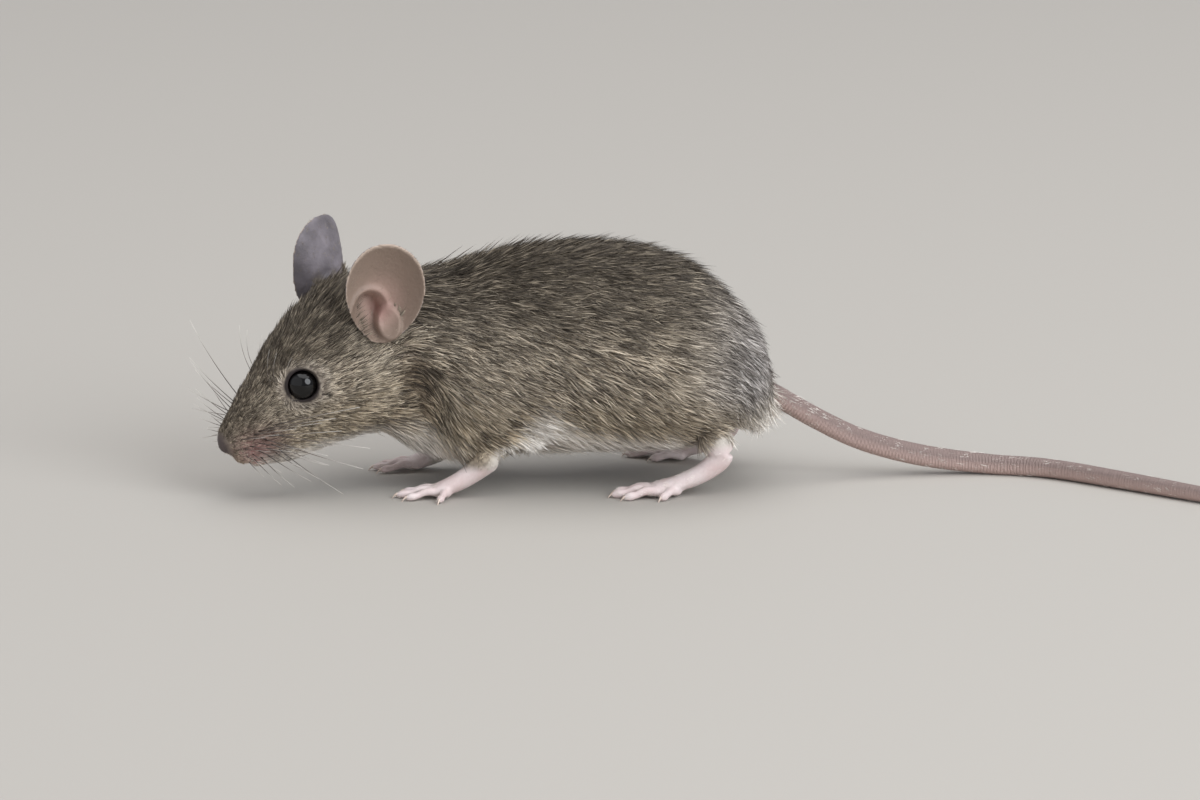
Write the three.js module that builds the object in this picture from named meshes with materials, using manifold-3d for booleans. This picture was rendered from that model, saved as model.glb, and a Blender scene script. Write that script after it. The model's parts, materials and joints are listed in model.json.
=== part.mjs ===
// House mouse, a still life-size model of a young adult standing on all fours with its head low.
//
// Millimetres, +Z up. The trunk runs along X with the nose towards -X, and the animal's left side is -Y.
// Every solid gives the outline of the coat, out to the lie of its tips, and the coat is thin or absent on
// the ears, feet, nose and tail. The last line of the file moves the mouse so that the origin is at the
// middle of the underside of its box.

import * as THREE from "three";
import { mergeVertices } from "three/addons/utils/BufferGeometryUtils.js";
import Module from "manifold-3d";

const wasm = await Module();
wasm.setup();

// ---------------------------------------------------------------------------------------------------------
// Driving dimensions

const GAP = 0.3; // between solids that meet
const BOX_MIDDLE = [23.3, -7.85]; // x and y of the middle of the whole mouse's box, before the last move

// The head is measured back from the tip of the nose, and it is turned to the animal's left, nose down.
const HEAD = {
  nose: [-45.4, -6.1, 6.5],
  yaw: 18.1, // degrees
  pitch: 33,
  roll: -11, // left side down
};
// Places in the head's frame are [back from the nose tip, outwards, up over the skull].
const EYE = { at: [11.74, 3.9, 2.0], radius: 1.8 };
const EAR = {
  notch: { left: [20.8, 7.9, 2.1], right: [20.2, 8.5, 0.2] }, // lowest point of the rim
  length: 12.4,
  width: 9.7,
  middle: 0.55, // height of the widest part, as a share of the length
  cup: 3.4, // depth of the bowl
  deepest: 0.27, // height of its deepest point, as a share of the length
  wall: 0.6,
  facing: { left: [-0.2, 0.93, 0.28], right: [-0.42, 0.87, 0.25] }, // the way the bowl opens
  along: { left: [0.61, -0.11, 0.8], right: [0.52, 0.06, 0.86] }, // from the notch to the tip
};
const TAIL = { rootRadius: 1.25, thickRadius: 1.34, tipRadius: 0.42, lengths: 4 };

// ---------------------------------------------------------------------------------------------------------
// Small helpers

const V = (x, y, z) => new THREE.Vector3(x, y, z);
const radians = THREE.MathUtils.degToRad;

// A number between rows[i] and rows[i + 1] on a Catmull-Rom curve through all of them. A closed end mirrors
// its neighbour, so that a size that ends at 0 comes in square to the axis.
function through(rows, key, s, closedEnds) {
  const n = rows.length - 1;
  const i = Math.min(Math.floor(s), n - 1);
  const t = s - i;
  const at = (k) => {
    if (k < 0) return closedEnds ? -rows[1][key] : 2 * rows[0][key] - rows[1][key];
    if (k > n) return closedEnds ? -rows[n - 1][key] : 2 * rows[n][key] - rows[n - 1][key];
    return rows[k][key];
  };
  const [a, b, c, d] = [at(i - 1), at(i), at(i + 1), at(i + 2)];
  const cubic = 3 * (b - c) + d - a;
  const square = 2 * a - 5 * b + 4 * c - d;
  return b + 0.5 * t * (c - a + t * (square + t * cubic));
}

// A closed mesh over rings of equal count, with a pole at each end.
function loft(rings, firstPole, lastPole) {
  const n = rings[0].length;
  const points = [...rings.flat(), firstPole, lastPole];
  const first = points.length - 2;
  const last = points.length - 1;
  const faces = [];
  for (let j = 0; j < n; j++) {
    const k = (j + 1) % n;
    faces.push(first, k, j);
    for (let i = 0; i + 1 < rings.length; i++) {
      const [a, b, c, d] = [i * n + j, i * n + k, (i + 1) * n + k, (i + 1) * n + j];
      faces.push(a, b, c, a, c, d);
    }
    faces.push(last, (rings.length - 1) * n + j, (rings.length - 1) * n + k);
  }
  const geometry = new THREE.BufferGeometry().setFromPoints(points);
  geometry.setIndex(faces);
  return geometry;
}

// A geometry as a manifold-3d solid, turned the right way out.
function solid(geometry) {
  const bare = geometry.clone();
  bare.deleteAttribute("normal");
  bare.deleteAttribute("uv");
  const merged = mergeVertices(bare, 1e-4);
  const triVerts = new Uint32Array(merged.index.array);
  const make = () =>
    new wasm.Manifold(
      new wasm.Mesh({ numProp: 3, vertProperties: merged.attributes.position.array, triVerts }),
    );
  const made = make();
  if (made.volume() > 0) return made;
  for (let i = 0; i < triVerts.length; i += 3) {
    [triVerts[i + 1], triVerts[i + 2]] = [triVerts[i + 2], triVerts[i + 1]];
  }
  return make();
}

function geometryOf(made) {
  const mesh = made.getMesh();
  const geometry = new THREE.BufferGeometry();
  geometry.setAttribute("position", new THREE.BufferAttribute(mesh.vertProperties, 3));
  geometry.setIndex(new THREE.BufferAttribute(mesh.triVerts, 1));
  geometry.computeVertexNormals();
  return geometry;
}

const joined = (solids) => solids.reduce((a, b) => a.add(b));

// The largest of the separate bodies that a cut leaves.
const mainBody = (made) => made.decompose().sort((a, b) => b.volume() - a.volume())[0];

// Ring of a swept tube: n points round centre, square to the direction, with half sizes side and rise.
function ringAround(centre, direction, side, rise, n, up = V(0, 0, 1)) {
  const across = V(0, 0, 0).crossVectors(direction, up).normalize();
  const over = V(0, 0, 0).crossVectors(across, direction).normalize();
  return Array.from({ length: n }, (_, j) => {
    const t = (2 * Math.PI * j) / n;
    return centre
      .clone()
      .addScaledVector(across, side * Math.cos(t))
      .addScaledVector(over, rise * Math.sin(t));
  });
}

// A round-ended limb or digit through points [x, y, z, side, rise], with a given number of rings and sides.
function limb(points, steps, sides) {
  const rows = points.map(([x, y, z, side, rise = side]) => ({ x, y, z, side, rise }));
  const n = rows.length - 1;
  const place = (s) => V(...["x", "y", "z"].map((key) => through(rows, key, s, false)));
  const rings = [];
  for (let i = 0; i <= steps; i++) {
    const s = (i / steps) * n;
    const direction = place(Math.min(s + 0.05, n)).sub(place(Math.max(s - 0.05, 0)));
    const side = through(rows, "side", s, false);
    const rise = through(rows, "rise", s, false);
    rings.push(ringAround(place(s), direction.normalize(), side, rise, sides));
  }
  // Each end is rounded by one smaller ring and a pole.
  const cap = (s, sign) => {
    const direction = place(Math.min(s + 0.05, n)).sub(place(Math.max(s - 0.05, 0))).normalize();
    const side = through(rows, "side", s, false);
    const rise = through(rows, "rise", s, false);
    const reach = Math.min(side, rise);
    const centre = place(s);
    const shoulder = centre.clone().addScaledVector(direction, sign * reach * 0.7);
    return {
      ring: ringAround(shoulder, direction, side * 0.7, rise * 0.7, sides),
      pole: centre.clone().addScaledVector(direction, sign * reach),
    };
  };
  const [head, tail] = [cap(0, -1), cap(n, 1)];
  return solid(loft([head.ring, ...rings, tail.ring], head.pole, tail.pole));
}

// ---------------------------------------------------------------------------------------------------------
// The head's own frame

const headTurn = new THREE.Matrix4().makeRotationFromEuler(
  new THREE.Euler(radians(HEAD.roll), radians(HEAD.pitch), radians(180 + HEAD.yaw), "ZYX"),
);
const headDirection = (back, left, up) => V(-back, left, up).applyMatrix4(headTurn);
const inHead = (back, left, up) => headDirection(back, left, up).add(V(...HEAD.nose));

// ---------------------------------------------------------------------------------------------------------
// The body from the nose to the rump, as one run of rings square to a bent spine

// Sections of the head: distance back from the nose tip, heights of the top, the widest line and the
// bottom, and the half width.
const HEAD_SECTIONS = {
  noseTip: [0, -0.2, -0.2, -0.2, 0],
  nose: [0.6, 0.75, -0.6, -2.0, 1.4],
  lip: [2.0, 1.6, -1.1, -4.5, 2.35],
  chin: [4.2, 2.9, -1.5, -6.5, 3.4],
  snout: [7.2, 4.5, -1.7, -8.2, 4.5],
  eyes: [11.0, 6.2, -1.7, -9.2, 5.9],
  brow: [14.6, 7.4, -2.0, -10.4, 7.3],
  cheek: [18.4, 8.2, -2.4, -12.4, 8.1],
  nape: [22.4, 8.1, -2.8, -14.0, 8.2],
};
// Sections of the neck and trunk: x of the middle, top and bottom heights, half width, and the forward lean
// of the section's top in degrees. The widest line is at a share of the height.
const TRUNK_SECTIONS = {
  shoulder: [-20.0, 26.8, 4.3, 9.0, 9],
  withers: [-15.4, 27.6, 3.2, 10.0, 3],
  chest: [-9.5, 29.1, 3.0, 11.1, 0],
  back: [-2.0, 29.6, 3.3, 12.2, 0],
  loin: [4.4, 28.9, 3.5, 13.1, 0],
  haunch: [10.2, 26.9, 3.9, 13.1, 0],
  buttock: [15.2, 22.9, 5.0, 11.3, 0],
  rump: [18.9, 17.6, 6.7, 7.6, 0],
  rumpEnd: [21.2, 11.0, 11.0, 0, 0],
};
const WIDEST = 0.42;

// Swellings and hollows of the surface: middle, reach and height, in the head's frame or the body's.
const HEAD_SWELLINGS = {
  whiskerPad: [[3.9, 2.6, -2.6], 1.9, 0.5],
  cheek: [[16.5, 7.2, -3.0], 3.0, 0.6],
  eyeHollow: [[11.6, 5.4, 2.3], 2.1, -0.45],
  browRidge: [[12.6, 3.9, 5.6], 1.6, 0.3],
};
const BODY_SWELLINGS = {
  haunch: [[7.5, 12.6, 12.0], 6.0, 1.1],
  shoulder: [[-15.5, 9.6, 13.5], 4.6, 0.9],
};
const FLANK_DIP = { middle: [-6.0, 11.8, 11.0], reach: 4.5, height: -0.55 };

function bodyRows() {
  const head = Object.values(HEAD_SECTIONS).map(([back, top, widest, bottom, half]) => {
    const { x, y, z } = inHead(back, 0, widest);
    return { x, y, z, up: top - widest, down: widest - bottom, half, ...HEAD };
  });
  const trunk = Object.values(TRUNK_SECTIONS).map(([x, top, bottom, half, pitch]) => {
    const axis = bottom + WIDEST * (top - bottom);
    return { x, y: 0, z: axis, up: top - axis, down: axis - bottom, half, yaw: 0, pitch, roll: 0 };
  });
  return [...head, ...trunk];
}

const swellings = [-1, 1].flatMap((side) => [
  ...Object.values(HEAD_SWELLINGS).map(([[back, out, up], reach, height]) => ({
    middle: inHead(back, -side * out, up), reach, height,
  })),
  ...Object.values(BODY_SWELLINGS).map(([[x, y, z], reach, height]) => ({
    middle: V(x, side * y, z), reach, height,
  })),
  {
    middle: V(FLANK_DIP.middle[0], side * FLANK_DIP.middle[1], FLANK_DIP.middle[2]),
    reach: FLANK_DIP.reach, height: FLANK_DIP.height,
  },
]);

// The whole body's surface, grown outwards by a given amount.
function body(grow, stepsPerSection, sides) {
  const rows = bodyRows();
  const n = rows.length - 1;
  const rings = [];
  const value = (key, s) => through(rows, key, s, ["up", "down", "half"].includes(key));
  for (let i = 1; i < n * stepsPerSection; i++) {
    const s = i / stepsPerSection;
    const [up, down, half] = ["up", "down", "half"].map((key) => value(key, s));
    const turn = new THREE.Matrix4().makeRotationFromEuler(
      new THREE.Euler(
        radians(value("roll", s)), radians(value("pitch", s)), radians(180 + value("yaw", s)), "ZYX",
      ),
    );
    const middle = V(...["x", "y", "z"].map((key) => value(key, s)));
    rings.push(
      Array.from({ length: sides }, (_, j) => {
        const t = (2 * Math.PI * j) / sides;
        const rise = Math.sin(t) > 0 ? up : down;
        const out = V(0, half * Math.cos(t), rise * Math.sin(t));
        const length = out.length();
        const point = out.clone().applyMatrix4(turn).add(middle);
        const away = out.normalize().applyMatrix4(turn);
        const swell = swellings.reduce((sum, { middle: m, reach, height }) => {
          return sum + height * Math.exp(-point.distanceToSquared(m) / (2 * reach * reach));
        }, 0);
        return point.addScaledVector(away, Math.max(swell, -0.5 * length) + grow);
      }),
    );
  }
  const pole = (s, outwards) =>
    V(...["x", "y", "z"].map((key) => value(key, s))).addScaledVector(outwards, grow);
  return solid(loft(rings, pole(0, headDirection(-1, 0, 0)), pole(n, V(1, 0, 0))));
}

// ---------------------------------------------------------------------------------------------------------
// Ears and eyes

function ear(name, side) {
  const turned = ([back, out, up]) => headDirection(back, side * out, up).normalize();
  const along = turned(EAR.along[name]);
  const facing = turned(EAR.facing[name]);
  facing.addScaledVector(along, -facing.dot(along)).normalize();
  const across = V(0, 0, 0).crossVectors(along, facing);
  const [notchBack, notchOut, notchUp] = EAR.notch[name];
  const middle = inHead(notchBack, side * notchOut, notchUp);
  middle.addScaledVector(along, EAR.length * EAR.middle);
  const spokes = 18;
  const circles = 5;
  // The rim is an ellipse above the middle and tapers to the notch below it.
  const rim = (t) => {
    const rise = Math.sin(t) > 0 ? EAR.length * (1 - EAR.middle) : EAR.length * EAR.middle;
    const taper = 1 - 0.22 * Math.max(0, -Math.sin(t)) ** 2;
    return [0.5 * EAR.width * Math.cos(t) * taper, rise * Math.sin(t)];
  };
  const sink = EAR.length * (EAR.deepest - EAR.middle);
  const place = (share, p, q, offset) =>
    middle
      .clone()
      .addScaledVector(across, p * share)
      .addScaledVector(along, q * share + sink * (1 - share))
      .addScaledVector(facing, offset - EAR.cup * (1 - share ** 1.4));
  const face = (share, offset) =>
    Array.from({ length: spokes }, (_, j) => {
      const [p, q] = rim((2 * Math.PI * j) / spokes);
      return place(share, p, q, offset);
    });
  const shares = Array.from({ length: circles }, (_, i) => (i + 1) / circles);
  const inner = shares.map((share) => face(share, EAR.wall / 2));
  const outer = shares.map((share) => face(share, -EAR.wall / 2)).reverse();
  return solid(
    loft([...inner, ...outer], place(0, 0, 0, EAR.wall / 2), place(0, 0, 0, -EAR.wall / 2)),
  );
}

function ball(centre, radius, across = 14, down = 10) {
  return solid(new THREE.SphereGeometry(radius, across, down).translate(centre.x, centre.y, centre.z));
}

// ---------------------------------------------------------------------------------------------------------
// Legs and feet. Each is written for the left side and a mirrored one is made for the right, and moved
// along X to its own place.

const FORELEG = {
  // elbow, within the flank's coat, forearm, wrist: x, y, z, half width, half height
  points: [
    [-8.2, -7.4, 9.2, 2.2, 2.3],
    [-10.2, -7.7, 7.5, 1.9, 2.0],
    [-12.8, -7.7, 5.4, 1.5, 1.5],
    [-16.3, -7.25, 2.6, 1.2, 1.25],
  ],
  wrist: [-16.0, -7.2, 2.4],
};
const FOREFOOT = {
  palm: [
    [-15.6, -7.25, 2.75, 1.2, 1.15],
    [-17.6, -7.2, 1.6, 1.3, 1.1],
    [-20.0, -7.1, 0.8, 1.5, 0.8],
  ],
  // Digits: root x and y, tip x and y, and how high the knuckle rises
  digits: [
    [-18.6, -8.2, -19.6, -10.2, 0.95],
    [-19.2, -7.8, -23.2, -8.7, 1.0],
    [-19.2, -7.0, -24.2, -7.1, 1.0],
    [-19.2, -6.3, -23.4, -5.5, 0.95],
  ],
  digitRadius: 0.5,
};
const HINDFOOT = {
  // hock, heel, instep, ball of the foot
  sole: [
    [13.0, -8.6, 6.6, 1.7, 1.9],
    [13.6, -8.4, 4.6, 1.3, 1.5],
    [11.6, -8.4, 2.8, 1.3, 1.25],
    [8.6, -8.5, 1.5, 1.45, 1.0],
    [5.4, -8.7, 0.85, 1.6, 0.85],
  ],
  digits: [
    [8.4, -9.3, 6.3, -11.3, 0.95],
    [5.9, -9.7, 2.2, -10.7, 1.0],
    [5.7, -8.9, 0.9, -9.2, 1.0],
    [5.9, -8.1, 1.3, -7.8, 1.0],
    [8.0, -7.5, 4.8, -6.4, 0.95],
  ],
  digitRadius: 0.56,
};
const CLAW = { length: 0.8, radius: 0.27 };

// One digit: from its root, over the knuckle, down to the pad, and on to the claw.
function digit([rootX, rootY, tipX, tipY, rise], radius) {
  const between = (t) => [rootX + (tipX - rootX) * t, rootY + (tipY - rootY) * t];
  const beyond = 1 + CLAW.length / Math.hypot(tipX - rootX, tipY - rootY);
  return limb(
    [
      [...between(0), 0.75, radius * 1.2],
      [...between(0.45), rise, radius],
      [...between(0.9), radius * 0.9, radius],
      [...between(1), 0.5, CLAW.radius],
      [...between(beyond), 0.3, CLAW.radius * 0.8],
    ],
    5, 5,
  );
}

const floor = solid(new THREE.BoxGeometry(200, 200, 10).translate(0, 0, -5));

function foot(points, steps, digits, radius) {
  const toes = digits.map((measures) => digit(measures, radius));
  return joined([limb(points, steps, 8), ...toes]).subtract(floor);
}

// Where each leg stands: side 1 is left. A foot turns outwards about its heel, in degrees, and moves.
const LEG_PLACES = {
  left: { side: 1, fore: [0, 0], hind: [0, 0], turn: 0 },
  right: { side: -1, fore: [-1.9, 0], hind: [2.4, -1.2], turn: 22 },
};
const HEEL = [13.6, -8.4];

function placed(made, side, [dx, dy], turn = 0) {
  const turned = made
    .translate([-HEEL[0], -HEEL[1], 0])
    .rotate([0, 0, turn])
    .translate([HEEL[0], HEEL[1], 0]);
  const there = side > 0 ? turned : turned.mirror([0, 1, 0]);
  return there.translate([dx, dy, 0]);
}

// ---------------------------------------------------------------------------------------------------------
// Tail

const TAIL_ROUTE = [
  [17.5, 0, 11.6],
  [21.0, 0, 9.7],
  [25.5, 0, 7.0],
  [31.0, -0.1, 4.3],
  [38.0, -0.3, 2.3],
  [46.0, -0.9, 1.2],
  [53.0, -3.6, 1.15],
  [61.0, -10.3, 1.1],
  [69.3, -17.8, 1.0],
  [77.0, -24.0, 0.8],
  [84.5, -28.0, 0.55],
  [91.8, -29.6, 0.36],
];

function tailLengths() {
  const curve = new THREE.CatmullRomCurve3(TAIL_ROUTE.map((p) => V(...p)), false, "centripetal");
  const length = curve.getLength();
  const radius = (u) => {
    const swell = TAIL.rootRadius + (TAIL.thickRadius - TAIL.rootRadius) * Math.sin(Math.PI * Math.min(u / 0.6, 1));
    const taper = Math.max(0, (u - 0.3) / 0.7) ** 1.35;
    return swell + (TAIL.tipRadius - swell) * taper;
  };
  const stepsPerLength = 8;
  return Array.from({ length: TAIL.lengths }, (_, k) => {
    const from = k / TAIL.lengths + (k ? GAP / 2 / length : 0);
    const to = (k + 1) / TAIL.lengths - (k + 1 < TAIL.lengths ? GAP / 2 / length : 0);
    const rings = [];
    for (let i = 0; i <= stepsPerLength; i++) {
      const u = from + ((to - from) * i) / stepsPerLength;
      rings.push(ringAround(curve.getPointAt(u), curve.getTangentAt(u), radius(u), radius(u), 9));
    }
    const tip = curve.getPointAt(to).addScaledVector(curve.getTangentAt(to), k + 1 < TAIL.lengths ? 0 : radius(to));
    return solid(loft(rings, curve.getPointAt(from), tip)).subtract(floor);
  });
}

// ---------------------------------------------------------------------------------------------------------
// The nodes

const COLOURS = { coat: "#7d6f5c", ear: "#8d7a6f", skin: "#d9b9ad", tail: "#8b7670", eye: "#0c0b0c" };
const FINISH = {
  coat: new THREE.MeshStandardMaterial({ color: COLOURS.coat, roughness: 0.85 }),
  ear: new THREE.MeshStandardMaterial({ color: COLOURS.ear, roughness: 0.6 }),
  skin: new THREE.MeshStandardMaterial({ color: COLOURS.skin, roughness: 0.55 }),
  tail: new THREE.MeshStandardMaterial({ color: COLOURS.tail, roughness: 0.6 }),
  eye: new THREE.MeshStandardMaterial({ color: COLOURS.eye, roughness: 0.06 }),
};
const mouse = new THREE.Group();

function node(name, made, material) {
  const mesh = new THREE.Mesh(geometryOf(mainBody(made)), material);
  mesh.name = name;
  mouse.add(mesh);
}

// Everything behind a plane, less half a gap, and everything in front of it.
function parted(made, point, direction) {
  const offset = point.dot(direction);
  const d = direction.toArray();
  return {
    front: made.trimByPlane(d, offset + GAP / 2),
    back: made.trimByPlane(d.map((x) => -x), -offset + GAP / 2),
  };
}

const whole = body(0, 2, 26);
const wholeGrown = body(GAP, 2, 26);
const eyes = [1, -1].map((side) => inHead(EYE.at[0], side * EYE.at[1], EYE.at[2]));
const sockets = joined(eyes.map((centre) => ball(centre, EYE.radius + GAP)));

const headCut = parted(whole, inHead(22.8, 0, 0), headDirection(-1, 0, -0.1).normalize());
const neckCut = parted(headCut.back, V(-19.5, 0, 0), V(-1, 0, 0.16).normalize());
node("head", headCut.front.subtract(sockets), FINISH.coat);
node("neck", neckCut.front, FINISH.coat);

// The thigh is the part of the trunk within an egg-shaped cut.
const THIGH = { middle: [9.0, -10.5, 10.5], radii: [8.2, 8.0, 8.6] };
const egg = (side, grow) => {
  const [x, y, z] = THIGH.middle;
  const sphere = new THREE.SphereGeometry(1, 18, 12);
  sphere.scale(...THIGH.radii.map((r) => r + grow)).translate(x, side * y, z);
  return solid(sphere);
};
const eggs = [1, -1].map((side) => egg(side, GAP / 2));
const tail = tailLengths();
const tailSleeve = limb([[16.0, 0, 12.4, 1.9], [21.0, 0, 9.7, 1.9], [25.5, 0, 7.0, 1.9]], 4, 12);
node("trunk", neckCut.back.subtract(joined(eggs)).subtract(tailSleeve), FINISH.coat);

Object.entries(LEG_PLACES).forEach(([name, { side, fore, hind, turn }], i) => {
  node("thigh_" + name, whole.intersect(egg(side, -GAP / 2)), FINISH.coat);
  const [wristX, wristY, wristZ] = FORELEG.wrist;
  const wrist = V(wristX + fore[0], side * wristY + fore[1], wristZ);
  const downArm = V(-0.85, 0, -0.53).normalize();
  const arm = placed(limb(FORELEG.points, 6, 10), side, fore).subtract(wholeGrown);
  const paw = placed(foot(FOREFOOT.palm, 4, FOREFOOT.digits, FOREFOOT.digitRadius), side, fore);
  node("foreleg_" + name, parted(arm, wrist, downArm).back, FINISH.coat);
  node("forefoot_" + name, parted(paw, wrist, downArm).front, FINISH.skin);
  const sole = foot(HINDFOOT.sole, 7, HINDFOOT.digits, HINDFOOT.digitRadius);
  node("hindfoot_" + name, placed(sole, side, hind, turn).subtract(wholeGrown), FINISH.skin);
  node("ear_" + name, ear(name, side).subtract(wholeGrown), FINISH.ear);
  node("eye_" + name, ball(eyes[i], EYE.radius), FINISH.eye);
});
tail.forEach((length, k) => node("tail_" + (k + 1), length, FINISH.tail));

mouse.position.set(-BOX_MIDDLE[0], -BOX_MIDDLE[1], 0);

export default mouse;
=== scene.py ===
# %% [markdown]
# # A house mouse with its coat on
#
# The frame holds the measured solids of a young house mouse: head, neck, trunk, legs, ears, eyes and tail, out
# to the tips of the coat. This lesson grows the real surface around them: one bare skin a little way inside the
# solids, then wet eyes, claws, whiskers, and a coat of many thousand small tufts.

# %% Load the measured solids
import json
import math

import bpy
import numpy as np
from mathutils import Matrix, Vector
from mathutils.kdtree import KDTree

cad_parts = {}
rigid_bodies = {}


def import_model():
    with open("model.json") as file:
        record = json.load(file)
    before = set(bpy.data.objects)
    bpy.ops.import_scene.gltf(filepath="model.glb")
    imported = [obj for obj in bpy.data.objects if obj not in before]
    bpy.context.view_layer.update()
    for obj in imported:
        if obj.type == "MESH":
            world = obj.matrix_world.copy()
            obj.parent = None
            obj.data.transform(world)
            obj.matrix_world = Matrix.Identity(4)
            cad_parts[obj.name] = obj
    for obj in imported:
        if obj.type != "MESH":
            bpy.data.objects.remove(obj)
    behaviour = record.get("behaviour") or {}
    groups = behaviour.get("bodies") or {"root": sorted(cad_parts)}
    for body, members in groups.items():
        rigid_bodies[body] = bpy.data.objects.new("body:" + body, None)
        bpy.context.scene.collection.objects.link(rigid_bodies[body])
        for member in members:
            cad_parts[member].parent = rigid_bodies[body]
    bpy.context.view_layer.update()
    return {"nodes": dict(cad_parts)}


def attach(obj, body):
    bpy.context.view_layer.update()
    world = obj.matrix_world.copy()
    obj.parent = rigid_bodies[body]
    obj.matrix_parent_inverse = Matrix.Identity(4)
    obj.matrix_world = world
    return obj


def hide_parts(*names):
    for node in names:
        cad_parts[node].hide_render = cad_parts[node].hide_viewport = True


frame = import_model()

nodes = frame["nodes"]
print("solids:", ", ".join(sorted(nodes)))

# %% [markdown]
# ## Working in millimetres
#
# Everything is designed in millimetres in the animal's own frame, with the midline at y = 0 and the floor at
# z = 0, as the solids were. Two small functions change to and from the frame's metres. The head has a frame of
# its own, [back from the nose tip, out to its left, up over the skull], because it is turned and tilted.

# %% Places and turns
MM = 0.001
BOX_MIDDLE = np.array([23.3, -7.85, 0.0])
NOSE_TIP = np.array([-45.4, -6.1, 6.5])
HEAD_YAW, HEAD_PITCH, HEAD_ROLL = 18.1, 33.0, -11.0


def to_row(mm):
    return (np.asarray(mm, float) - BOX_MIDDLE) * MM


def to_mm(metres):
    return np.asarray(metres, float) / MM + BOX_MIDDLE


def turn(axis, degrees):
    return np.array(Matrix.Rotation(math.radians(degrees), 3, axis))


HEAD_AXES = turn("Z", 180 + HEAD_YAW) @ turn("Y", HEAD_PITCH) @ turn("X", HEAD_ROLL)


def head_point(place):
    back, left, up = np.moveaxis(np.asarray(place, float), -1, 0)
    return NOSE_TIP + np.stack([-back, left, up], -1) @ HEAD_AXES.T


def head_place(mm):
    local = (np.asarray(mm, float) - NOSE_TIP) @ HEAD_AXES
    return local * np.array([-1.0, 1.0, 1.0])


def head_direction(back, left, up):
    way = HEAD_AXES @ np.array([-back, left, up], float)
    return way / np.linalg.norm(way)


def unit(ways):
    return ways / np.linalg.norm(ways, axis=-1, keepdims=True)


def ease(low, high, value):
    """0 up to low, 1 from high, and smooth between."""
    t = np.clip((value - low) / (high - low), 0.0, 1.0)
    return t * t * (3 - 2 * t)


print("between the ears:", head_point([21, 0, 6]).round(1), "mm")

# %% [markdown]
# ## Small hands for the mesh tools
#
# Every operator works on what is selected, so each piece is made with nothing else selected. A long round form,
# such as a toe or the tail, is a sphere whose rings are slid along a curve: it keeps the sphere's closed poles.

# %% Helpers for meshes


def deselect():
    bpy.ops.object.select_all(action="DESELECT")


def pick(*pieces):
    deselect()
    for piece in pieces:
        piece.select_set(True)
    bpy.context.view_layer.objects.active = pieces[-1]


def named(name):
    piece = bpy.context.object
    piece.name = piece.data.name = name
    return piece


def points_of(piece):
    flat = np.empty(len(piece.data.vertices) * 3, np.float32)
    piece.data.vertices.foreach_get("co", flat)
    return to_mm(flat.reshape(-1, 3))


def move_points(piece, mm):
    piece.data.vertices.foreach_set("co", to_row(mm).astype(np.float32).ravel())
    piece.data.update()


def normals_of(piece):
    flat = np.empty(len(piece.data.vertices) * 3, np.float32)
    piece.data.vertex_normals.foreach_get("vector", flat)
    return flat.reshape(-1, 3).astype(float)


def finish_with(piece, kind, **settings):
    """Adds one modifier with its settings and applies it."""
    pick(piece)
    modifier = piece.modifiers.new(kind.title(), kind)
    for key, value in settings.items():
        setattr(modifier, key, value)
    bpy.ops.object.modifier_apply(modifier=modifier.name)
    return piece


def weights(piece, name, values):
    group = piece.vertex_groups.new(name=name)
    levels = np.round(np.clip(values, 0, 1), 1)
    for level in np.unique(levels):
        group.add(np.nonzero(levels == level)[0].tolist(), float(level), "REPLACE")
    return name


def along_curve(rows, s):
    """Rows of numbers on a Catmull-Rom curve, at s from 0 to len(rows) - 1."""
    rows = np.asarray(rows, float)
    padded = np.vstack([2 * rows[0] - rows[1], rows, 2 * rows[-1] - rows[-2]])
    i = np.clip(np.floor(s).astype(int), 0, len(rows) - 2)
    t = (s - i)[:, None]
    a, b, c, d = (padded[i + k] for k in range(4))
    return b + 0.5 * t * (c - a + t * (2 * a - 5 * b + 4 * c - d + t * (3 * (b - c) + d - a)))


def frames_along(rows, s):
    """Places, directions, and the level and upright ways across, at s along a curve."""
    last = len(rows) - 1
    here = along_curve(rows, s)
    ahead = along_curve(rows, np.minimum(s + 0.02, last))[:, :3]
    behind = along_curve(rows, np.maximum(s - 0.02, 0))[:, :3]
    way = (ahead - behind) / np.linalg.norm(ahead - behind, axis=1)[:, None]
    level = np.cross(way, [0, 0, 1.0])
    level /= np.linalg.norm(level, axis=1)[:, None]
    return here, way, level, np.cross(level, way)


def swept(name, rows, rings=24, sides=16, round_end=0.12):
    """A round form along rows of [x, y, z, half width, half height], with round ends."""
    deselect()
    bpy.ops.mesh.primitive_uv_sphere_add(segments=sides, ring_count=rings, radius=1)
    piece = named(name)
    ball = np.array([v.co for v in piece.data.vertices])
    t = np.arccos(np.clip(ball[:, 2], -1, 1)) / math.pi
    angle = np.arctan2(ball[:, 1], ball[:, 0])
    end = np.clip(np.minimum(t, 1 - t) / round_end, 0, 1)
    s = np.clip((t - round_end) / (1 - 2 * round_end), 0, 1) * (len(rows) - 1)
    here, way, level, upright = frames_along(rows, s)
    radius = np.sin(end * math.pi / 2)
    poke = np.cos(end * math.pi / 2) * np.sign(t - 0.5) * here[:, 3:5].min(1)
    out = level * (here[:, 3] * radius * np.cos(angle))[:, None]
    out += upright * (here[:, 4] * radius * np.sin(angle))[:, None]
    move_points(piece, here[:, :3] + way * poke[:, None] + out)
    pick(piece)
    bpy.ops.object.mode_set(mode="EDIT")
    bpy.ops.mesh.select_all(action="SELECT")
    bpy.ops.mesh.normals_make_consistent(inside=False)
    bpy.ops.object.mode_set(mode="OBJECT")
    return piece


def pebble(name, centre, radii, axes=HEAD_AXES):
    """An egg form at a place, with its three half sizes along the given axes."""
    deselect()
    bpy.ops.mesh.primitive_uv_sphere_add(segments=32, ring_count=20, radius=1)
    piece = named(name)
    ball = np.array([v.co for v in piece.data.vertices])
    move_points(piece, np.asarray(centre) + (ball * radii) @ np.asarray(axes).T)
    return piece


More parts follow.
